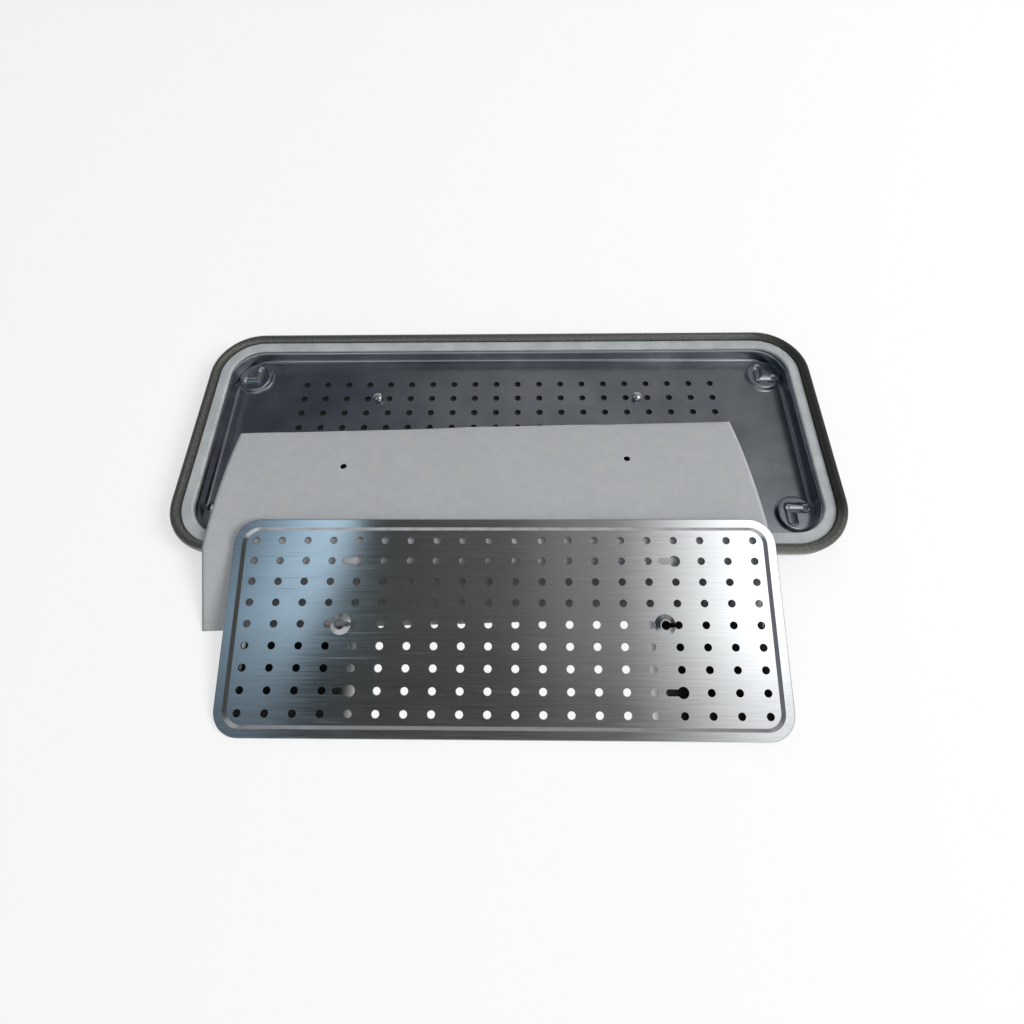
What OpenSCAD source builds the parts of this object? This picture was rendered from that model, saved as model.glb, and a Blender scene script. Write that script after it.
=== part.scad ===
// Lid set of a slim sterilising cassette, laid out open:
// a shallow pressed steel lid pan lying open side up with its sealing gasket,
// a paper filter sheet draped over its front rim, and the perforated retention
// plate that leans on that rim. Millimetres, X along the lid, Y away from the
// person using it, Z up from the table, origin under the middle of the pan.

/* [Lid pan] */
// Length of the lid over its rolled rim
pan_l = 307; // [295:1:330]
// Width of the lid over its rolled rim
pan_w = 121; // [117:1:140]
// Height of the lid from the table to the top of the rolled rim
pan_h = 11.8; // [11.2:0.1:14]
// Thickness of the pressed sheet
pan_t = 1; // [0.8:0.1:1.2]
// Plan radius of the lid's outer corners
pan_corner_r = 24.5; // [24:0.5:32]
// Height of the seat that carries the gasket
seat_h = 7.8; // [6.5:0.1:8]
// Outer radius of the rolled rim
roll_r = 2.1; // [1.9:0.05:2.4]
// Height at which the rolled rim's outer leg ends
hem_h = 6.6; // [5.5:0.1:7.2]
// Inside radius of the bend between floor and wall
base_bend_r = 1.3; // [1.2:0.1:3]
// Inside radius of the small bends at the seat
seat_bend_r = 0.5; // [0.3:0.1:0.7]

/* [Perforation] */
// Holes along the lid
hole_cols = 20; // [16:2:20]
// Holes across the lid
hole_rows = 9; // [7:2:9]
// Distance between holes along the lid
pitch_x = 11.25; // [10.5:0.05:11.4]
// Distance between holes across the lid
pitch_y = 8.8; // [8.4:0.1:9]
// Diameter of a hole
hole_d = 3.2; // [2.4:0.1:3.4]

/* [Corner bosses] */
// Diameter of a boss at half its height
boss_d = 17.2; // [15:0.2:18]
// Height of a boss above the floor
boss_h = 2; // [1.6:0.1:2.6]
// Distance of a boss from the middle of its corner's bend, along the lid
boss_off_x = 5.8; // [4:0.1:6.4]
// Distance of a boss from the middle of its corner's bend, across the lid
boss_off_y = 3.3; // [2:0.1:4]
// Radius of the elbow groove pressed into a boss
groove_r = 3.1; // [2.6:0.1:3.3]
// Height of the groove's bottom above the floor
groove_rise = 0.3; // [0.25:0.05:0.5]
// Length of each arm of the elbow groove
groove_arm = 6.7; // [5.6:0.1:7]
// How much fuller the elbow's round corner is than its arms
groove_swell = 0.15; // [0.1:0.05:0.2]
// Distance of the elbow's corner from the middle of the boss
groove_off = 2.8; // [2:0.1:3]

/* [Studs] */
// Diameter of a stud where it is pressed into the floor
stud_foot_d = 3.6; // [3:0.1:3.8]
// Diameter of a stud's neck
stud_neck_d = 2.4; // [1.8:0.1:2.5]
// Height of a stud's neck above the floor
stud_neck_h = 1.6; // [1.5:0.1:1.8]
// Diameter of a stud's head
stud_head_d = 4.2; // [3.6:0.1:4.3]
// Height of a stud's head
stud_head_h = 1.1; // [0.9:0.1:1.3]

/* [Gasket] */
// Width of the gasket
gasket_w = 5.4; // [4.6:0.1:5.6]
// Height of the gasket
gasket_h = 1.8; // [1.6:0.1:2.2]
// Rounding of the gasket's upper edges
gasket_r = 0.7; // [0.4:0.1:0.9]
// Gap between the gasket and the rolled rim
gasket_gap = 0.15; // [0.1:0.05:0.4]

/* [Retention plate] */
// Length of the plate
plate_l = 232; // [230:1:244]
// Width of the plate
plate_w = 88.8; // [88:0.2:92]
// Thickness of the plate
plate_t = 0.9; // [0.7:0.1:1.1]
// Plan radius of the plate's corners
plate_corner_r = 11; // [9:0.5:14]
// Width of the raised border
border_w = 3.3; // [2.8:0.1:3.4]
// Height of the border's upper face over the field's
border_h = 1.4; // [1:0.1:1.8]
// Width of the sloping step between field and border
step_w = 1.1; // [0.9:0.1:1.2]
// Diameter of a keyhole's wide end
key_d = 4.7; // [4.4:0.1:5]
// Width of a keyhole's slot
key_slot_w = 2.7; // [2.6:0.1:2.9]
// Diameter of a pressed dish
dish_d = 8.8; // [8:0.1:9]
// Height of a pressed dish
dish_h = 1.3; // [1:0.1:1.6]
// Width of the flat in the middle of a dish
dish_flat_d = 4.6; // [4.4:0.1:5]
// Diameter of the wide end of the keyhole in a dish
dish_key_d = 3.8; // [3.6:0.1:4]
// Width of the slot of the keyhole in a dish
dish_slot_w = 2; // [2:0.1:2.2]
// Length of the keyhole in a dish
dish_key_l = 6; // [5.4:0.1:6.6]
// Distance from the lid's middle to where the plate's front bend meets the table
plate_reach = 130.2; // [126:0.2:136]
// Offset of the plate along the lid
plate_x = -0.8; // [-6:0.1:6]

/* [Filter sheet] */
// Width of the sheet before it is draped
filter_w = 247; // [238:1:250]
// Length of the sheet before it is draped
filter_l = 99.5; // [96:0.5:102]
// Thickness of the sheet
filter_t = 0.4; // [0.3:0.05:0.6]
// Angle at which the sheet lies askew
filter_skew = 1.8; // [0:0.1:3]
// Offset of the sheet along the lid
filter_x = -9; // [-14:0.5:8]
// Distance of the sheet's rearmost corner behind the lid's middle
filter_back = 11; // [8:0.5:16]
// Diameter of the holes for the studs
filter_hole_d = 3; // [2.6:0.1:4.4]

/* [Fits] */
// Clearance left between loose pieces
loose_gap = 0.3; // [0.2:0.05:0.5]

/* [Hidden] */
$fn = 64;
// Flats along the sheet's rear curve and along its bend over the rim
back_steps = 24;
wrap_steps = 6;
// How far a cutting shape runs past the face that it cuts
past = 1;
// How far the flat and the bent parts of one sheet overlap
seam = 0.5;

// Lid pan, worked out from the outside inwards
lip_x = gasket_w + gasket_gap;
rim_x = lip_x + 2 * roll_r;
inner_x = pan_l / 2 - rim_x;
inner_y = pan_w / 2 - rim_x;
inner_r = pan_corner_r - rim_x;
roll_z = pan_h - roll_r;
bend_out_r = seat_bend_r + pan_t;
flat_x = inner_x - base_bend_r;
flat_y = inner_y - base_bend_r;
flat_r = inner_r - base_bend_r;

// Bosses
boss_foot_r = boss_d / 2 + boss_h / 2;
boss_x = inner_x - inner_r + boss_off_x;
boss_y = inner_y - inner_r + boss_off_y;
groove_z = groove_rise + groove_r;

// Studs stand half way between two columns and one row in from the edge rows,
// counted here in pitches from the middle
mid_col = (hole_cols - 1) / 2;
mid_row = (hole_rows - 1) / 2;
stud_col = hole_cols / 2 - 4;
stud_row = mid_row - 1;
stud_x = stud_col * pitch_x;
stud_y = stud_row * pitch_y;
stud_places = [for (row = [1, -1]) for (side = [-1, 1]) [side * stud_x, row * stud_y]];

// Plate
plate_edge = border_w + step_w;
field_x = plate_l / 2 - plate_edge;
field_y = plate_w / 2 - plate_edge;
field_r = plate_corner_r - plate_edge;
key_cols = [mid_col - stud_col + 0.5, mid_col + stud_col + 0.5];
key_rows = [mid_row - stud_row, mid_row + stud_row];
key_l = pitch_x / 2;

// The plate leans on the rolled rim with the sheet between them
rim_mid_y = -(pan_w / 2 - roll_r);
lean_r = roll_r + filter_t + 2 * loose_gap;
lean_d = plate_reach + rim_mid_y;
lean_a = atan2(roll_z, lean_d) + asin(lean_r / norm([lean_d, roll_z]));

// The sheet runs from the pan's floor over the rolled rim down to the table
wrap_r = roll_r + loose_gap;
crest_z = roll_z + wrap_r;
back_run = filter_back - rim_mid_y;
back_drop = crest_z - (pan_t + loose_gap);
back_r = (back_run * back_run + back_drop * back_drop) / (2 * back_drop);
back_a = asin(back_run / back_r);
back_arc = back_r * back_a * PI / 180;
sheet_run = filter_l * cos(filter_skew) + filter_w * sin(filter_skew);

// Slope of the sheet's front part, whose end meets the table: a guess refined n times
function front_a(n, a) = n == 0 ? a : front_a(n - 1, slope_for(front_len(a)));
function front_len(a) = sheet_run - back_arc - wrap_r * a * PI / 180;
function slope_for(len) =
    let (reach = norm([len, wrap_r])) asin(roll_z / reach) + asin(wrap_r / reach);
slope_guess = 20;
slope_a = front_a(6, slope_guess);
slope_len = front_len(slope_a);

// Lower face of the sheet at distance s from its rearmost corner, as [y, z, slope]
function sheet_at(s) =
    s < back_arc
        ? let (a = (back_arc - s) / back_r * 180 / PI)
            [rim_mid_y + back_r * sin(a), crest_z - back_r * (1 - cos(a)), a]
        : s < sheet_run - slope_len
            ? let (a = (s - back_arc) / wrap_r * 180 / PI)
                [rim_mid_y - wrap_r * sin(a), roll_z + wrap_r * cos(a), -a]
            : let (d = s - (sheet_run - slope_len))
                [rim_mid_y - wrap_r * sin(slope_a) - d * cos(slope_a),
                 roll_z + wrap_r * cos(slope_a) - d * sin(slope_a), -slope_a];

// Point at height h over the lower face, as [y, z]
function sheet_point(s, h) =
    let (p = sheet_at(s)) [p.x + h * sin(p[2]), p.y + h * cos(p[2])];

// Place of a point of the flat sheet, x and y from its middle, in plan
function turned(p) = [p.x * cos(filter_skew) - p.y * sin(filter_skew),
                      p.x * sin(filter_skew) + p.y * cos(filter_skew)];
function sheet_plan(p) =
    let (q = turned(p)) [filter_x + q.x, sheet_at(sheet_run / 2 - q.y).x];

// Sheet metal sections

// Quarter of a sheet bend, its hollow side towards the quadrant at angle a
module bend(inside_r, t, a) {
    rotate(a) intersection() {
        difference() {
            circle(inside_r + t);
            circle(inside_r);
        }
        square(inside_r + t);
    }
}

// Section of the pan's edge: X outwards from the wall's inner face, Y up
module rim_section() {
    translate([-base_bend_r - seam, 0]) square([seam, pan_t]);
    translate([-base_bend_r, pan_t + base_bend_r]) bend(base_bend_r, pan_t, -90);
    translate([0, pan_t + base_bend_r]) square([pan_t, seat_h - bend_out_r - pan_t - base_bend_r]);
    translate([bend_out_r, seat_h - bend_out_r]) bend(seat_bend_r, pan_t, 90);
    translate([bend_out_r, seat_h - pan_t]) square([lip_x - seat_bend_r - bend_out_r, pan_t]);
    translate([lip_x - seat_bend_r, seat_h + seat_bend_r]) bend(seat_bend_r, pan_t, -90);
    translate([lip_x, seat_h + seat_bend_r]) square([pan_t, roll_z - seat_h - seat_bend_r]);
    translate([lip_x + roll_r, roll_z]) for (a = [0, 90]) bend(roll_r - pan_t, pan_t, a);
    translate([rim_x - pan_t, hem_h]) square([pan_t, roll_z - hem_h]);
}

// Section of the gasket in the same place
module gasket_section() {
    x0 = gasket_gap / 2;
    translate([x0, seat_h]) difference() {
        union() {
            square([gasket_w, gasket_h - gasket_r]);
            translate([gasket_r, 0]) square([gasket_w - 2 * gasket_r, gasket_h]);
            for (x = [gasket_r, gasket_w - gasket_r])
                translate([x, gasket_h - gasket_r]) circle(gasket_r);
        }
        for (x = [0, gasket_w])
            translate([x, 0]) rotate(45) square(2 * seat_bend_r, center = true);
    }
}

// Section of the plate's edge: X outwards from the field's edge, Y up
module border_section() {
    lip_r = plate_t / 2;
    shift = plate_t * tan(atan2(border_h, step_w) / 2);
    polygon([[0, 0], [step_w, border_h], [plate_edge - lip_r, border_h],
             [plate_edge - lip_r, border_h + plate_t], [step_w - shift, border_h + plate_t],
             [-shift, plate_t], [-shift, 0]]);
    translate([plate_edge - lip_r, border_h + lip_r]) circle(lip_r);
}

// Sweep of a section round a rectangle of half sizes hx and hy with corner radius r
module ring(hx, hy, r) {
    for (side = [0, 1]) {
        rotate(180 * side) translate([hx, 0, 0]) rotate([90, 0, 0])
            linear_extrude(2 * (hy - r), center = true) children();
        rotate(180 * side + 90) translate([hy, 0, 0]) rotate([90, 0, 0])
            linear_extrude(2 * (hx - r), center = true) children();
    }
    for (sx = [-1, 1]) for (sy = [-1, 1])
        translate([sx * (hx - r), sy * (hy - r), 0])
            rotate(sx > 0 ? (sy > 0 ? 0 : -90) : (sy > 0 ? 90 : 180))
                rotate_extrude(angle = 90) translate([r, 0]) children();
}

// Flat rectangle with rounded corners
module rounded_rect(hx, hy, r) {
    square([2 * hx, 2 * (hy - r)], center = true);
    square([2 * (hx - r), 2 * hy], center = true);
    for (sx = [-1, 1]) for (sy = [-1, 1])
        translate([sx * (hx - r), sy * (hy - r)]) circle(r);
}

// Place of a hole from the middle of the perforation
function hole_at(col, row) = [(col - mid_col) * pitch_x, (row - mid_row) * pitch_y];

// Field of round holes, but for those whose column and row are in skip
module perforation(skip = []) {
    for (col = [0 : hole_cols - 1]) for (row = [0 : hole_rows - 1])
        if (len([for (s = skip) if (s == [col, row]) s]) == 0)
            translate(hole_at(col, row)) circle(d = hole_d);
}

// Corner boss

// Half section of the boss, solid, from within the floor up
module boss_section() {
    h = boss_h / 2;
    translate([0, -pan_t / 2]) square([boss_foot_r, pan_t / 2]);
    square([boss_d / 2 - h, boss_h]);
    square([boss_d / 2, h]);
    translate([boss_d / 2 - h, h]) intersection() {
        circle(h);
        square(h);
    }
    difference() {
        square([boss_foot_r, h]);
        translate([boss_foot_r, h]) circle(h);
    }
}

// Half section of the hollow pressed in from below
module boss_hollow_section() {
    h = boss_h / 2;
    hollow_r = h + pan_t;
    translate([0, -pan_t - past]) square([boss_foot_r, past]);
    translate([0, -pan_t]) square([boss_foot_r - hollow_r, boss_h]);
    difference() {
        translate([0, -pan_t]) square([boss_foot_r, min(boss_h, hollow_r)]);
        translate([boss_foot_r, h]) circle(hollow_r);
    }
}

// Elbow with round ends, its arms along +X and +Y
module elbow(r) {
    translate([-groove_off, -groove_off, groove_z]) {
        rotate([-90, 0, 0]) cylinder(h = groove_arm, r = r);
        rotate([0, 90, 0]) cylinder(h = groove_arm, r = r);
        sphere(r + groove_swell);
        translate([groove_arm, 0, 0]) sphere(r);
        translate([0, groove_arm, 0]) sphere(r);
    }
}

module boss_outside() {
    difference() {
        rotate_extrude() boss_section();
        elbow(groove_r);
    }
}

module boss_inside() {
    difference() {
        rotate_extrude() boss_hollow_section();
        elbow(groove_r + pan_t);
    }
}

// Room inside the pan, out to the middle of its sheet
module pan_room() {
    wrap = base_bend_r + pan_t / 2;
    translate([0, 0, pan_t / 2]) linear_extrude(boss_h + pan_t) rounded_rect(flat_x, flat_y, flat_r);
    ring(inner_x, inner_y, inner_r) translate([-base_bend_r, pan_t + base_bend_r]) {
        intersection() {
            circle(wrap);
            translate([0, -wrap]) square(wrap);
        }
        translate([-seam, -wrap]) square([seam, wrap]);
        translate([-seam, 0]) square([seam + wrap, boss_h + pan_t]);
    }
}

// Places its children at the four corners, with +X and +Y towards each corner
module at_bosses() {
    for (sx = [0, 1]) for (sy = [0, 1])
        mirror([sx, 0, 0]) mirror([0, sy, 0]) translate([boss_x, boss_y, pan_t]) children();
}

// Sub-parts

module lid_pan() {
    color("lightslategray") difference() {
        union() {
            linear_extrude(pan_t)
                difference() {
                    rounded_rect(flat_x - seam / 2, flat_y - seam / 2, flat_r - seam / 2);
                    perforation();
                    for (p = stud_places) translate(p) circle(d = stud_foot_d);
                }
            ring(inner_x, inner_y, inner_r) rim_section();
            intersection() {
                at_bosses() boss_outside();
                pan_room();
            }
        }
        intersection() {
            at_bosses() boss_inside();
            translate([0, 0, -pan_t - past]) linear_extrude(boss_h + 2 * pan_t + past)
                rounded_rect(flat_x, flat_y, flat_r);
        }
    }
}

module gasket() {
    color("silver") ring(inner_x, inner_y, inner_r) gasket_section();
}

// Headed stud pressed into the floor, its foot flush with the underside
module stud(place) {
    head_r = stud_head_d / 2;
    head_z = pan_t + stud_neck_h;
    crown_h = stud_head_h / 2;
    crown_r = (head_r * head_r + crown_h * crown_h) / (2 * crown_h);
    color("gainsboro") translate(place) rotate_extrude() {
        square([stud_foot_d / 2, pan_t]);
        square([stud_neck_d / 2, head_z]);
        translate([0, head_z]) square([head_r, crown_h]);
        intersection() {
            translate([0, head_z + 2 * crown_h - crown_r]) circle(crown_r);
            translate([0, head_z + crown_h]) square([head_r, crown_h]);
        }
    }
}

module stud_rear_left() { stud(stud_places[0]); }
module stud_rear_right() { stud(stud_places[1]); }
module stud_front_left() { stud(stud_places[2]); }
module stud_front_right() { stud(stud_places[3]); }

// Draped paper sheet: a section swept along X and cut to the askew outline
module filter_sheet() {
    half = [filter_w / 2, filter_l / 2];
    outline = [for (c = [[-1, 1], [1, 1], [1, -1], [-1, -1]]) sheet_plan([c.x * half.x, c.y * half.y])];
    color("whitesmoke") difference() {
        intersection() {
            translate([filter_x, 0, 0]) rotate([90, 0, 90])
                linear_extrude(filter_w + filter_l, center = true) sheet_section();
            linear_extrude(2 * pan_h) polygon(outline);
        }
        for (p = stud_places) translate(sheet_plan(p)) cylinder(h = 2 * pan_h, d = filter_hole_d);
    }
}

// Section of the draped sheet: X is the lid's Y, Y is up
module sheet_section() {
    wrap_arc = sheet_run - slope_len - back_arc;
    stops = concat([for (i = [0 : back_steps - 1]) i * back_arc / back_steps],
                   [for (i = [0 : wrap_steps]) back_arc + i * wrap_arc / wrap_steps],
                   [sheet_run]);
    last = len(stops) - 1;
    polygon(concat([for (i = [0 : last]) sheet_point(stops[i], 0)],
                   [for (i = [last : -1 : 0]) sheet_point(stops[i], filter_t)]));
}

// Keyhole running towards -X from its wide end
module keyhole(wide_d, slot_w, l) {
    circle(d = wide_d);
    translate([-l, -slot_w / 2]) square([l, slot_w]);
    translate([-l, 0]) circle(d = slot_w);
}

// Half section of a pressed dish, its foot at height z
module dish_section(z) {
    translate([0, z])
        polygon([[0, 0], [dish_d / 2, 0], [dish_flat_d / 2, dish_h], [0, dish_h]]);
}

// The plate in its own flat frame, field's underside at Z 0
module plate_flat() {
    keys = [for (col = key_cols) for (row = key_rows) [col, row]];
    dishes = [for (side = [-1, 1]) [side * stud_x, 0]];
    difference() {
        union() {
            linear_extrude(plate_t) rounded_rect(field_x, field_y, field_r);
            ring(field_x, field_y, field_r) border_section();
            for (p = dishes) translate(p) rotate_extrude() dish_section(plate_t);
        }
        for (p = dishes) translate(p) rotate_extrude() {
            dish_section(0);
            translate([0, -past]) square([dish_d / 2, past]);
        }
        translate([0, 0, -past]) linear_extrude(plate_t + dish_h + 2 * past) {
            perforation(keys);
            for (k = keys) translate(hole_at(k.x, k.y)) keyhole(key_d, key_slot_w, key_l);
            for (p = dishes) translate(p) rotate(180)
                keyhole(dish_key_d, dish_slot_w, dish_key_l - (dish_key_d + dish_slot_w) / 2);
        }
    }
}

module retention_plate() {
    color("lightgray") translate([plate_x, -plate_reach, 0]) rotate([lean_a, 0, 0])
        translate([0, field_y, 0]) plate_flat();
}

lid_pan();
gasket();
stud_rear_left();
stud_rear_right();
stud_front_left();
stud_front_right();
filter_sheet();
retention_plate();
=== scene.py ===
import math

import bpy
from mathutils import Matrix, Vector
from mathutils.geometry import delaunay_2d_cdt


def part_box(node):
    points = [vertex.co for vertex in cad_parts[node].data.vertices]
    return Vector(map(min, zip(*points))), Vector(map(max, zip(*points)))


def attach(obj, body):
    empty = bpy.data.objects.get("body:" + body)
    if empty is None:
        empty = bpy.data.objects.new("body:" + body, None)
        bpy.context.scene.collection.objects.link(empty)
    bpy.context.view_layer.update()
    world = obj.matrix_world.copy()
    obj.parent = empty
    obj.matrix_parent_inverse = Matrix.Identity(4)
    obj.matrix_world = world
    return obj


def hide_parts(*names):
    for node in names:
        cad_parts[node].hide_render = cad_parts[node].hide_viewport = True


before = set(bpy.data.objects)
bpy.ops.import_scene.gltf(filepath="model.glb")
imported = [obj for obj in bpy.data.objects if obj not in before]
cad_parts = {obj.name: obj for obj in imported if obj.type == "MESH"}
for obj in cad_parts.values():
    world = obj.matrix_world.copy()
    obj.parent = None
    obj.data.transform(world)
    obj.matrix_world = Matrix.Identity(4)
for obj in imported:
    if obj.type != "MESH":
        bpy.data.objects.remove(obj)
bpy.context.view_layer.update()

MM = 0.001


# Node helpers

class Graph:
    """Adds nodes to one tree. An input given as a socket is linked, any other value is set."""

    def __init__(self, tree):
        self.tree = tree
        tree.nodes.clear()

    def add(self, kind, inputs=None, **settings):
        node = self.tree.nodes.new(kind)
        for name, value in settings.items():
            setattr(node, name, value)
        for name, value in (inputs or {}).items():
            if isinstance(value, bpy.types.NodeSocket):
                self.tree.links.new(value, node.inputs[name])
            else:
                node.inputs[name].default_value = value
        return node

    def math(self, operation, *values):
        return self.add("ShaderNodeMath", dict(enumerate(values)), operation=operation).outputs[0]

    def smooth(self, value, start, end, low=0.0, high=1.0):
        """A value that goes smoothly from low to high as the input goes from start to end."""
        node = self.add("ShaderNodeMapRange", {"Value": value, "From Min": start, "From Max": end,
                                               "To Min": low, "To Max": high},
                        interpolation_type="SMOOTHSTEP")
        return node.outputs["Result"]

    def product(self, *values):
        result = values[0]
        for value in values[1:]:
            result = self.math("MULTIPLY", result, value)
        return result

    def mix(self, factor, first, second, blend="MIX"):
        node = self.add("ShaderNodeMix", data_type="RGBA", blend_type=blend)
        for index, value in ((0, factor), (6, first), (7, second)):
            if isinstance(value, bpy.types.NodeSocket):
                self.tree.links.new(value, node.inputs[index])
            else:
                node.inputs[index].default_value = value
        return node.outputs[2]

    def ramp(self, factor, stops):
        node = self.add("ShaderNodeValToRGB", {"Fac": factor})
        elements = node.color_ramp.elements
        elements[0].position, elements[1].position = stops[0][0], stops[-1][0]
        for position, _ in stops[1:-1]:
            elements.new(position)
        for element, (_, colour) in zip(elements, stops):
            element.color = colour
        return node.outputs["Color"]

    def inset(self, half_x, half_y, radius):
        """How far a point of the object lies inside a rounded rectangle about its origin."""
        parts = self.add("ShaderNodeSeparateXYZ", {"Vector": self.place()}).outputs
        over = [self.math("SUBTRACT", self.math("ABSOLUTE", parts[name]), half - radius)
                for name, half in (("X", half_x), ("Y", half_y))]
        outer = [self.math("MAXIMUM", value, 0.0) for value in over]
        reach = self.math("SQRT", self.math("ADD", *[self.math("POWER", v, 2.0) for v in outer]))
        inner = self.math("MINIMUM", self.math("MAXIMUM", *over), 0.0)
        return self.math("SUBTRACT", radius, self.math("ADD", reach, inner))

    def place(self, stretch=(1, 1, 1), turn=(0, 0, 0), source="Object"):
        """The object's own coordinates in metres, times stretch."""
        point = self.add("ShaderNodeTexCoord").outputs[source]
        return self.add("ShaderNodeMapping", {"Vector": point, "Scale": stretch,
                                              "Rotation": turn}).outputs["Vector"]

    def noise(self, where, detail=3.0, roughness=0.5, distortion=0.0):
        """Noise from 0 to 1 at a scale of 1 over the coordinates in where."""
        return self.add("ShaderNodeTexNoise", {"Vector": where, "Scale": 1.0, "Detail": detail,
                                               "Roughness": roughness,
                                               "Distortion": distortion}).outputs["Fac"]

    def bump(self, height, distance, strength=1.0, normal=None):
        inputs = {"Height": height, "Distance": distance, "Strength": strength}
        if normal is not None:
            inputs["Normal"] = normal
        return self.add("ShaderNodeBump", inputs).outputs["Normal"]


def grey(level):
    return (level, level, level, 1.0)


def rgb(red, green, blue):
    return (red, green, blue, 1.0)


def new_material(name):
    material = bpy.data.materials.new(name)
    material.use_nodes = True
    return material, Graph(material.node_tree)


def close_material(graph, inputs):
    shader = graph.add("ShaderNodeBsdfPrincipled", inputs)
    output = graph.add("ShaderNodeOutputMaterial")
    graph.tree.links.new(shader.outputs["BSDF"], output.inputs["Surface"])


def dress(node_names, material):
    """Puts a material on CAD nodes, whose shape stays as it is."""
    for name in node_names:
        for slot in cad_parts[name].material_slots:
            slot.material = material


# Materials

PAN_TINTS = (rgb(0.33, 0.35, 0.39), rgb(0.47, 0.49, 0.53))
PAN_RIM_TINTS = (rgb(0.20, 0.20, 0.185), rgb(0.30, 0.30, 0.275))
# Painted shade: the near-black tint laid on the right run of the rolled rim
PAN_RIM_PAINTED_SHADE = rgb(0.07, 0.07, 0.062)
PLATE_TINTS = (rgb(0.53, 0.54, 0.55), rgb(0.62, 0.63, 0.65))
GASKET_TINTS = (rgb(0.34, 0.36, 0.37), rgb(0.44, 0.46, 0.47))
PAPER_TINTS = (rgb(0.356, 0.371, 0.394), rgb(0.388, 0.395, 0.399))
STUD_TINT = rgb(0.80, 0.81, 0.83)


def rolled_grain(graph, fine, coarse):
    """Streaks along X, as rolling and brushing leave them: fine and coarse are streaks a metre."""
    thin = graph.noise(graph.place((fine / 60, fine, fine)), detail=4.0, roughness=0.6)
    broad = graph.noise(graph.place((coarse / 25, coarse, coarse)), detail=3.0, roughness=0.55)
    return thin, broad


def scratches(graph, per_metre, turn, threshold):
    """Sparse fine scratches along one slanted direction, 1 on a scratch and 0 beside it."""
    lines = graph.noise(graph.place((per_metre / 45, per_metre, per_metre), (0, 0, turn)),
                        detail=1.0, roughness=0.4)
    return graph.smooth(lines, threshold, threshold + 0.06)


def pan_steel():
    """Pressed steel with a satin mill finish, darker marks and a dull, speckled rolled rim, whose right
    run carries painted shade.
    """
    material, graph = new_material("pan_steel_look")
    thin, broad = rolled_grain(graph, 1500, 180)
    stains = graph.noise(graph.place((28, 28, 28)), detail=5.0, roughness=0.62)
    colour = graph.mix(graph.smooth(stains, 0.32, 0.7), *PAN_TINTS)
    colour = graph.mix(graph.math("MULTIPLY", thin, 0.35), colour, rgb(0.30, 0.31, 0.34))
    place = graph.add("ShaderNodeSeparateXYZ", {"Vector": graph.place()}).outputs
    on_rim = graph.smooth(place["Z"], seat_z(), seat_z() + 0.4 * MM)
    speck = graph.noise(graph.place((1300, 1300, 1300)), detail=2.0, roughness=0.6)
    rim = graph.mix(graph.smooth(speck, 0.35, 0.68), *PAN_RIM_TINTS)
    # Painted shade: the right run of the rim, behind its front corner, is darkened towards a near-black
    # tint, with a ragged edge
    ragged = graph.math("MULTIPLY_ADD", stains, 30 * MM, place["X"])
    rim_painted_shade = graph.product(graph.smooth(ragged, 130 * MM, 158 * MM),
                            graph.smooth(place["Y"], -50 * MM, -36 * MM))
    rim = graph.mix(graph.math("MULTIPLY", rim_painted_shade, 0.8), rim, PAN_RIM_PAINTED_SHADE)
    colour = graph.mix(on_rim, colour, rim)
    marks = graph.math("MAXIMUM", scratches(graph, 900, 0.5, 0.70), scratches(graph, 700, -0.9, 0.71))
    roughness = graph.math("ADD", graph.smooth(stains, 0.2, 0.8, 0.18, 0.25),
                           graph.math("MULTIPLY", broad, 0.06))
    roughness = graph.math("ADD", roughness, graph.math("MULTIPLY", marks, 0.02))
    roughness = graph.math("ADD", roughness, graph.math("MULTIPLY", on_rim, 0.28))
    normal = graph.bump(thin, 0.006 * MM, 0.5)
    normal = graph.bump(broad, 0.007 * MM, 0.4, normal)
    normal = graph.bump(graph.math("MULTIPLY", speck, on_rim), 0.02 * MM, 0.5, normal)
    close_material(graph, {"Base Color": colour, "Metallic": 1.0, "Roughness": roughness,
                           "Normal": normal})
    return material


def plate_steel():
    """Sheet steel brushed along its length."""
    material, graph = new_material("plate_steel_look")
    thin, broad = rolled_grain(graph, 2600, 500)
    cloud = graph.noise(graph.place((14, 40, 40)), detail=4.0, roughness=0.6)
    streak = graph.smooth(thin, 0.25, 0.75)
    colour = graph.mix(streak, *PLATE_TINTS)
    marks = graph.math("MAXIMUM", scratches(graph, 1100, 0.35, 0.70), scratches(graph, 800, -0.6, 0.71))
    roughness = graph.math("ADD", graph.smooth(cloud, 0.25, 0.75, 0.13, 0.19),
                           graph.math("MULTIPLY", streak, 0.05))
    roughness = graph.math("ADD", roughness, graph.math("MULTIPLY", marks, 0.07))
    normal = graph.bump(thin, 0.008 * MM, 0.5)
    normal = graph.bump(broad, 0.012 * MM, 0.4, normal)
    smear = graph.add("ShaderNodeCombineXYZ", {"Y": 1.0}).outputs["Vector"]
    close_material(graph, {"Base Color": colour, "Metallic": 1.0, "Roughness": roughness,
                           "Normal": normal, "Anisotropic": 0.8, "Tangent": smear})
    return material


def gasket_silicone():
    """Matt silicone with faint mottling, dust and a fine moulded skin."""
    material, graph = new_material("gasket_silicone_look")
    mottle = graph.noise(graph.place((90, 90, 90)), detail=4.0, roughness=0.6)
    skin = graph.noise(graph.place((2600, 2600, 2600)), detail=3.0, roughness=0.55)
    dust = graph.smooth(graph.noise(graph.place((1400, 1400, 1400)), detail=1.0), 0.70, 0.76)
    colour = graph.mix(graph.smooth(mottle, 0.3, 0.7), *GASKET_TINTS)
    colour = graph.mix(graph.math("MULTIPLY", dust, 0.5), colour, grey(0.62))
    roughness = graph.smooth(mottle, 0.2, 0.8, 0.5, 0.64)
    normal = graph.bump(skin, 0.03 * MM, 0.5)
    close_material(graph, {"Base Color": colour, "Roughness": roughness, "Normal": normal,
                           "Specular IOR Level": 0.42})
    return material


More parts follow.
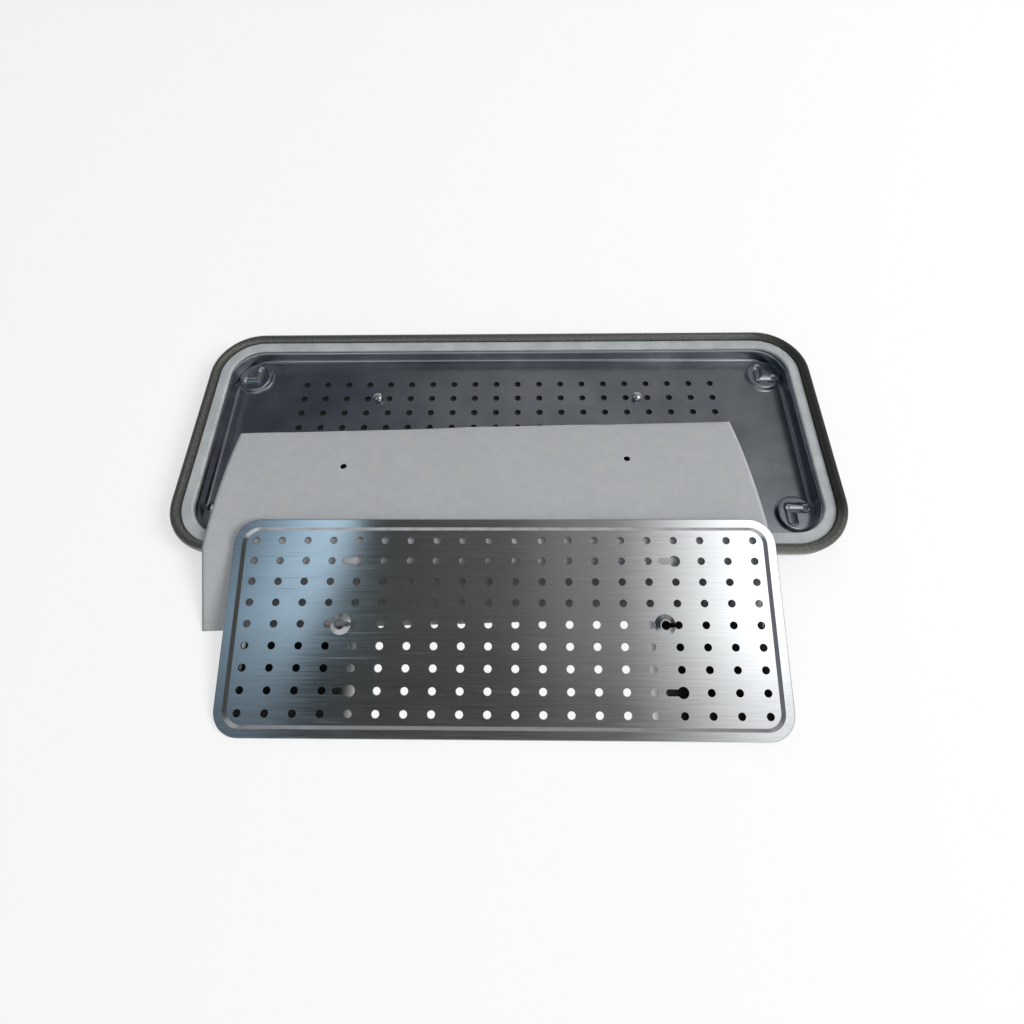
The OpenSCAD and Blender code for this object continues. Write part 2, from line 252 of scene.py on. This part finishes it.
def stud_steel():
    """Turned and polished steel, with a darker and rougher tone in random patches."""
    material, graph = new_material("stud_steel_look")
    wear = graph.noise(graph.place((700, 700, 700)), detail=4.0)
    colour = graph.mix(graph.smooth(wear, 0.45, 0.75), STUD_TINT, rgb(0.62, 0.62, 0.63))
    roughness = graph.smooth(wear, 0.3, 0.8, 0.12, 0.26)
    normal = graph.bump(wear, 0.01 * MM, 0.4)
    close_material(graph, {"Base Color": colour, "Metallic": 1.0, "Roughness": roughness,
                           "Normal": normal})
    return material


def filter_paper():
    """Fine wet-laid filter paper: matted fibres, a faint mottle and a pressed line by each edge, its
    darker colour painted shade in the crease.
    """
    material, graph = new_material("filter_paper_look")
    flat = graph.place((1, 1, 1), source="UV")
    mottle = graph.noise(graph.place((160, 160, 1), source="UV"), detail=5.0, roughness=0.65)
    fibre = graph.noise(graph.place((900, 2600, 1), (0, 0, 0.4), "UV"), detail=4.0, roughness=0.6,
                        distortion=0.8)
    cross = graph.noise(graph.place((2600, 900, 1), (0, 0, -0.3), "UV"), detail=4.0,
                        roughness=0.6, distortion=0.8)
    fibres = graph.math("MULTIPLY", graph.math("ADD", fibre, cross), 0.5)
    specks = graph.smooth(graph.noise(graph.place((700, 700, 1), source="UV"), detail=1.0), 0.77, 0.8)
    colour = graph.mix(graph.smooth(mottle, 0.35, 0.65), *PAPER_TINTS)
    colour = graph.mix(graph.smooth(fibres, 0.35, 0.65, 0.0, 0.35), colour, rgb(0.53, 0.54, 0.55))
    colour = graph.mix(graph.math("MULTIPLY", specks, 0.2), colour, rgb(0.24, 0.23, 0.21))
    along = graph.add("ShaderNodeSeparateXYZ", {"Vector": flat}).outputs["Y"]
    across = graph.math("ABSOLUTE", along)
    band = FLAT_L / 2 - EDGE_BAND
    pressed = graph.product(graph.smooth(across, band - 0.3 * MM, band),
                            graph.smooth(across, band, band + 0.3 * MM, 1.0, 0.0))
    # Painted shade: the pressed line by the front and rear edges is darkened in colour, as the shade in
    # its crease
    colour = graph.mix(graph.math("MULTIPLY", pressed, 0.22), colour, rgb(0.30, 0.31, 0.32))
    ragged = graph.math("MULTIPLY_ADD", fibre, 1.2 * MM, along)
    torn = graph.smooth(ragged, FLAT_L / 2 - 0.3 * MM, FLAT_L / 2 + 0.4 * MM)
    colour = graph.mix(graph.math("MULTIPLY", torn, 0.6), colour, grey(0.74))
    normal = graph.bump(fibres, 0.05 * MM, 0.7)
    normal = graph.bump(graph.math("MULTIPLY", pressed, -1.0), 0.1 * MM, 0.6, normal)
    close_material(graph, {"Base Color": colour, "Roughness": 0.92, "Normal": normal,
                           "Specular IOR Level": 0.2, "Sheen Weight": 0.15,
                           "Sheen Roughness": 0.6})
    return material


# Filter sheet

FLAT_W, FLAT_L = 247 * MM, 99.5 * MM
EDGE_BAND = 3 * MM
SHEET_T = 0.3 * MM
SHEET_SKEW = math.radians(1.8)
SHEET_X = -9 * MM
SHEET_REAR = 11 * MM
HOLE_R = 1.5 * MM
HOLE_SIDES = 24
HOLE_RINGS = (1.35, 1.8)
HOLE_CLEAR = 2.0
MESH_STEP = 1.5 * MM
SHEET_LIFT = 0.2 * MM
FIRST_SLOPE = math.radians(20)
ROLL_R = 2.1 * MM
GAP = 0.3 * MM
FLOOR_T = 1 * MM
PAN_CORNER = 24.5 * MM
STUD_NAMES = ["stud_rear_left", "stud_rear_right", "stud_front_left", "stud_front_right"]


def seat_z():
    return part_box("gasket")[0][2]


def middle(name):
    low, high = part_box(name)
    return [(a + b) / 2 for a, b in zip(low, high)]


class Drape:
    """The sheet's run: flat arc from the pan's floor, bend over the rolled rim, slope to the table."""

    def __init__(self):
        """The slope is found in a few rounds, since the sheet's length on the bend depends on it."""
        pan_low, pan_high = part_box("lid_pan")
        self.rim_y = pan_low[1] + ROLL_R
        self.roll_z = pan_high[2] - ROLL_R
        self.wrap_r = ROLL_R + GAP
        self.crest = self.roll_z + self.wrap_r
        run = SHEET_REAR - self.rim_y
        drop = self.crest - (FLOOR_T + GAP)
        self.back_r = (run * run + drop * drop) / (2 * drop)
        self.back_len = self.back_r * math.asin(run / self.back_r)
        self.run = FLAT_L * math.cos(SHEET_SKEW) + FLAT_W * math.sin(SHEET_SKEW)
        self.slope = FIRST_SLOPE
        for _ in range(8):
            length = self.run - self.back_len - self.wrap_r * self.slope
            reach = math.hypot(length, self.wrap_r)
            self.slope = math.asin(self.roll_z / reach) + math.asin(self.wrap_r / reach)
        self.slope_len = length

    def at(self, s):
        """Point of the lower face at distance s from the rearmost corner: y, z and slope."""
        if s < self.back_len:
            angle = (self.back_len - s) / self.back_r
            return (self.rim_y + self.back_r * math.sin(angle),
                    self.crest - self.back_r * (1 - math.cos(angle)), angle)
        if s < self.run - self.slope_len:
            angle = (s - self.back_len) / self.wrap_r
            return (self.rim_y - self.wrap_r * math.sin(angle),
                    self.roll_z + self.wrap_r * math.cos(angle), -angle)
        far = s - (self.run - self.slope_len)
        return (self.rim_y - self.wrap_r * math.sin(self.slope) - far * math.cos(self.slope),
                self.roll_z + self.wrap_r * math.cos(self.slope) - far * math.sin(self.slope),
                -self.slope)

    def place(self, x, y, height):
        """Where a point of the flat sheet, from its middle, lies in the lid, at a height over it."""
        along = x * math.cos(SHEET_SKEW) - y * math.sin(SHEET_SKEW)
        across = x * math.sin(SHEET_SKEW) + y * math.cos(SHEET_SKEW)
        py, pz, slope = self.at(self.run / 2 - across)
        return Vector((SHEET_X + along, py + height * math.sin(slope), pz + height * math.cos(slope)))


def ring_points(centre, radius):
    turns = [2 * math.pi * i / HOLE_SIDES for i in range(HOLE_SIDES)]
    return [(centre[0] + radius * math.cos(turn), centre[1] + radius * math.sin(turn))
            for turn in turns]


def flat_sheet(holes):
    """Triangles of the flat sheet with its round holes: points and faces."""
    nx, ny = round(FLAT_W / MESH_STEP), round(FLAT_L / MESH_STEP)
    points, edges = [], []

    def closed(loop):
        first = len(points)
        points.extend(loop)
        edges.extend((first + i, first + (i + 1) % len(loop)) for i in range(len(loop)))

    side_x = [FLAT_W * (i / nx - 0.5) for i in range(nx)]
    side_y = [FLAT_L * (i / ny - 0.5) for i in range(ny)]
    closed([(x, -FLAT_L / 2) for x in side_x] + [(FLAT_W / 2, y) for y in side_y]
           + [(-x, FLAT_L / 2) for x in side_x] + [(-FLAT_W / 2, -y) for y in side_y])
    for hole in holes:
        closed(ring_points(hole, HOLE_R))
        for extra in HOLE_RINGS:
            points.extend(ring_points(hole, HOLE_R * extra))
    for i in range(1, nx):
        for j in range(1, ny):
            point = (FLAT_W * (i / nx - 0.5), FLAT_L * (j / ny - 0.5))
            if all(math.dist(point, hole) > HOLE_R * HOLE_CLEAR for hole in holes):
                points.append(point)
    result = delaunay_2d_cdt([Vector(p) for p in points], edges, [], 0, 1e-7)
    points = [tuple(p) for p in result[0]]

    def in_hole(face):
        centre = [sum(points[i][k] for i in face) / len(face) for k in (0, 1)]
        return any(math.dist(centre, hole) < HOLE_R for hole in holes)

    return points, [face for face in result[2] if not in_hole(face)]


def ripple(x, y):
    """Small lifts of the sheet over its even drape, most at its free edges."""
    rear = max(0.0, (y + FLAT_L / 2) / FLAT_L)
    return MM * (0.35 * math.sin(x / FLAT_W * 9.0 + 1.1) * rear
                 + 0.15 * math.sin(x / FLAT_W * 31.0 + y / FLAT_L * 5.0))


def make_sheet(material):
    drape = Drape()
    holes = [middle(name)[:2] for name in STUD_NAMES]
    points, faces = flat_sheet(holes)
    verts = [drape.place(x, y, height + max(0.0, SHEET_LIFT + ripple(x, y)))
             for height in (0.0, SHEET_T) for x, y in points]
    count = len(points)
    all_faces = [tuple(reversed(face)) for face in faces]
    all_faces += [tuple(i + count for i in face) for face in faces]
    sides = {(a, b): None for face in faces for a, b in zip(face, face[1:] + face[:1])}
    all_faces += [(a, b, b + count, a + count) for a, b in sides if (b, a) not in sides]
    mesh = bpy.data.meshes.new("filter_sheet_draped")
    mesh.from_pydata(verts, [], all_faces)
    layer = mesh.uv_layers.new(name="flat")
    for loop in mesh.loops:
        layer.data[loop.index].uv = points[loop.vertex_index % count]
    mesh.validate()
    mesh.shade_smooth()
    piece = bpy.data.objects.new("filter_sheet_draped", mesh)
    bpy.context.scene.collection.objects.link(piece)
    mesh.materials.append(material)
    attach(piece, "filter")
    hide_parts("filter_sheet")


# Setting

CAMERA_PLACE = (6.61 * MM, -118.82 * MM, 203.01 * MM)
CAMERA_RIGHT = (0.999864, 0.005863, -0.015415)
CAMERA_DOWN = (-0.000294, -0.928195, -0.372093)
CAMERA_AHEAD = (-0.01649, 0.372047, -0.928068)
CAMERA_LENS = 16.21
SENSOR = 36.0
NEAR_CLIP = 0.01


def make_camera():
    data = bpy.data.cameras.new("camera")
    data.sensor_width = SENSOR
    data.sensor_fit = "HORIZONTAL"
    data.lens = CAMERA_LENS
    data.clip_start = NEAR_CLIP
    camera = bpy.data.objects.new("camera", data)
    columns = Matrix((CAMERA_RIGHT, [-v for v in CAMERA_DOWN], [-v for v in CAMERA_AHEAD]))
    turn = columns.transposed().to_4x4()
    camera.matrix_world = Matrix.Translation(CAMERA_PLACE) @ turn
    bpy.context.scene.collection.objects.link(camera)
    bpy.context.scene.camera = camera


FLOOR_HALF = 15.0
FLOOR_DROP = 0.02 * MM
# FLOOR_SHADE is painted shade, the floor's tone under the pan and under the plate's ends
FLOOR_TONE, FLOOR_SHADE = 0.92, 0.02
FLOOR_GLOW = 0.55
# Painted light: the share of the floor's glow under the plate's middle, where its shadow would fall
GLOW_UNDER_PLATE = 0.9
SHADE_REACH = 25 * MM


def make_floor():
    """A wide pale floor that shows white to the eye and in metal, and keeps the shadow.

    It carries painted shade where the pan stands, and under the plate's ends as long as a piece is
    close above; its glow is painted light under the plate's middle, where the plate's shadow would
    fall.
    """
    mesh = bpy.data.meshes.new("floor")
    corners = ((-1, -1), (1, -1), (1, 1), (-1, 1))
    mesh.from_pydata([(x * FLOOR_HALF, y * FLOOR_HALF, -FLOOR_DROP) for x, y in corners], [],
                     [(0, 1, 2, 3)])
    floor = bpy.data.objects.new("floor", mesh)
    bpy.context.scene.collection.objects.link(floor)
    material, graph = new_material("floor_look")
    rays = graph.add("ShaderNodeLightPath").outputs
    seen = graph.math("MAXIMUM", rays["Is Camera Ray"],
                      graph.math("MAXIMUM", rays["Is Glossy Ray"], rays["Is Transmission Ray"]))
    pan_low, pan_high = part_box("lid_pan")
    # Painted shade where the pan stands: the floor is near black and has no glow there
    under_pan = graph.smooth(graph.inset(pan_high[0], pan_high[1], PAN_CORNER), 12 * MM, 16 * MM)
    low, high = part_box("retention_plate")
    parts = graph.add("ShaderNodeSeparateXYZ", {"Vector": graph.place()}).outputs
    side = graph.math("ABSOLUTE", parts["X"])
    openness = graph.add("ShaderNodeAmbientOcclusion", {"Distance": SHADE_REACH}).outputs["AO"]
    under_plate = graph.product(graph.smooth(parts["Y"], low[1] + 1 * MM, low[1] + 5 * MM),
                                graph.smooth(parts["Y"], pan_low[1] - 20 * MM, pan_low[1] - 10 * MM,
                                             1.0, 0.0),
                                graph.smooth(side, high[0] - 5 * MM, high[0] - 1 * MM, 1.0, 0.0),
                                graph.smooth(openness, 0.6, 0.92, 1.0, 0.0))
    # Painted light: under the plate's middle the floor glows nearly white, over the plate's shadow
    under_share = graph.smooth(side, 52 * MM, 68 * MM, GLOW_UNDER_PLATE, 0.0)
    glow_share = graph.math("ADD", graph.math("MULTIPLY", under_plate, under_share),
                            graph.math("MULTIPLY_ADD", under_plate, -FLOOR_GLOW, FLOOR_GLOW))
    glow = graph.product(seen, glow_share, graph.math("SUBTRACT", 1.0, under_pan))
    # Painted shade under the plate's ends, while a piece is close above: the floor turns near black
    # there
    under_ends = graph.math("MULTIPLY", under_plate, graph.smooth(side, 56 * MM, 64 * MM))
    tone = graph.mix(graph.math("MAXIMUM", under_pan, under_ends), grey(FLOOR_TONE),
                     grey(FLOOR_SHADE))
    matt = graph.add("ShaderNodeBsdfDiffuse", {"Color": tone}).outputs[0]
    white = graph.add("ShaderNodeEmission", {"Color": grey(1.0), "Strength": 1.0}).outputs[0]
    mixed = graph.add("ShaderNodeMixShader", {"Fac": glow})
    graph.tree.links.new(matt, mixed.inputs[1])
    graph.tree.links.new(white, mixed.inputs[2])
    output = graph.add("ShaderNodeOutputMaterial")
    graph.tree.links.new(mixed.outputs[0], output.inputs["Surface"])
    mesh.materials.append(material)


# What hangs over the table, from left to right: a window, the dim ceiling and a soft box
OVERHEAD = ((-0.64, (0.04, 0.05, 0.06)), (-0.54, (0.08, 0.105, 0.13)), (-0.48, (0.21, 0.30, 0.38)),
            (-0.42, (0.58, 0.82, 1.02)), (-0.345, (1.0, 1.34, 1.58)), (-0.32, (0.045, 0.05, 0.045)),
            (-0.16, (0.105, 0.107, 0.098)), (-0.02, (0.125, 0.127, 0.118)), (0.10, (0.28, 0.28, 0.272)),
            (0.21, (0.33, 0.33, 0.32)), (0.30, (0.86, 0.87, 0.86)), (0.40, (1.85, 1.87, 1.85)),
            (0.475, (2.7, 2.72, 2.72)), (0.525, (1.1, 1.12, 1.12)), (0.80, (0.7, 0.7, 0.7)))
# How far the bands overhead spread to the sides as they come forward
SPLAY = 1.1
# What is left of the bands at the front, and how much of the window's left part is lost there
FRONT_SHARE = 0.45
WINDOW_LOSS = 0.72
# The upper wall behind the table, from left to right
BEHIND = ((-0.70, (0.03, 0.036, 0.05)), (-0.30, (0.10, 0.107, 0.12)), (0.0, (0.30, 0.305, 0.30)),
          (0.50, (0.24, 0.248, 0.25)), (0.80, (0.11, 0.11, 0.11)))


def spread(graph, value, bands):
    """Colours over a value that goes from -1 to 1."""
    stops = [((place + 1) / 2, colour + (1.0,)) for place, colour in bands]
    return graph.ramp(graph.math("MULTIPLY_ADD", value, 0.5, 0.5), stops)


def make_world():
    """Plain studio surroundings: pale at the horizon, dim walls, a window and a soft box overhead."""
    world = bpy.data.worlds.new("studio")
    world.use_nodes = True
    bpy.context.scene.world = world
    graph = Graph(world.node_tree)
    ray = graph.add("ShaderNodeTexCoord").outputs["Generated"]
    parts = graph.add("ShaderNodeSeparateXYZ", {"Vector": ray}).outputs
    x, y, z = parts["X"], parts["Y"], parts["Z"]
    forward = graph.math("MINIMUM", y, 0.0)
    splayed = graph.math("DIVIDE", x, graph.math("MULTIPLY_ADD", forward, -SPLAY, 1.0))
    overhead = spread(graph, graph.math("MAXIMUM", x, splayed), OVERHEAD)
    near = graph.smooth(y, -0.36, -0.2, FRONT_SHARE, 1.0)
    low_window = graph.math("MULTIPLY_ADD", graph.product(graph.smooth(y, -0.30, -0.10, 1.0, 0.0),
                                                          graph.smooth(x, -0.40, -0.32, 1.0, 0.0)),
                            -WINDOW_LOSS, 1.0)
    near = graph.math("MULTIPLY", near, low_window)
    overhead = graph.mix(1.0, overhead, graph.add("ShaderNodeCombineColor", {
        "Red": near, "Green": near, "Blue": near}).outputs["Color"], "MULTIPLY")
    sky = graph.mix(graph.smooth(y, 0.12, 0.36), overhead, spread(graph, x, BEHIND))
    sky = graph.mix(graph.smooth(y, -0.75, -0.48, 1.0, 0.0), sky, grey(0.62))
    walls = graph.mix(graph.smooth(x, -0.5, 0.6), rgb(0.20, 0.21, 0.23), rgb(0.08, 0.082, 0.078))
    walls = graph.mix(graph.smooth(y, 0.35, 0.8), walls, grey(0.56))
    walls = graph.mix(graph.smooth(y, -0.75, -0.48, 1.0, 0.0), walls, grey(0.75))
    sky = graph.mix(graph.smooth(z, 0.34, 0.56, 1.0, 0.0), sky, walls)
    sky = graph.mix(graph.smooth(z, 0.03, 0.10, 1.0, 0.0), sky, grey(0.72))
    background = graph.add("ShaderNodeBackground", {"Color": sky, "Strength": 1.0})
    output = graph.add("ShaderNodeOutputWorld")
    graph.tree.links.new(background.outputs[0], output.inputs["Surface"])


def make_lamp(name, place, size, power, colour):
    """A round lamp that points at the origin. Metal doesn't show it."""
    data = bpy.data.lights.new(name, "AREA")
    data.shape = "DISK"
    data.size = size
    data.energy = power
    data.color = colour
    lamp = bpy.data.objects.new(name, data)
    lamp.location = place
    lamp.rotation_euler = Vector(place).to_track_quat("Z", "Y").to_euler()
    lamp.visible_glossy = False
    bpy.context.scene.collection.objects.link(lamp)


def make_lamps():
    make_lamp("key", (1.6, -0.4, 1.2), 0.8, 32.0, (1.0, 0.99, 0.97))
    make_lamp("fill", (-1.4, -0.4, 1.8), 1.6, 5.5, (0.93, 0.97, 1.0))
    make_lamp("rear", (0.0, 1.8, 1.6), 1.6, 7.5, (0.97, 0.98, 1.0))


def main():
    make_camera()
    dress(["lid_pan"], pan_steel())
    dress(["gasket"], gasket_silicone())
    dress(STUD_NAMES, stud_steel())
    dress(["retention_plate"], plate_steel())
    make_sheet(filter_paper())
    make_floor()
    make_world()
    make_lamps()
    bpy.context.scene.view_settings.view_transform = "Standard"


main()
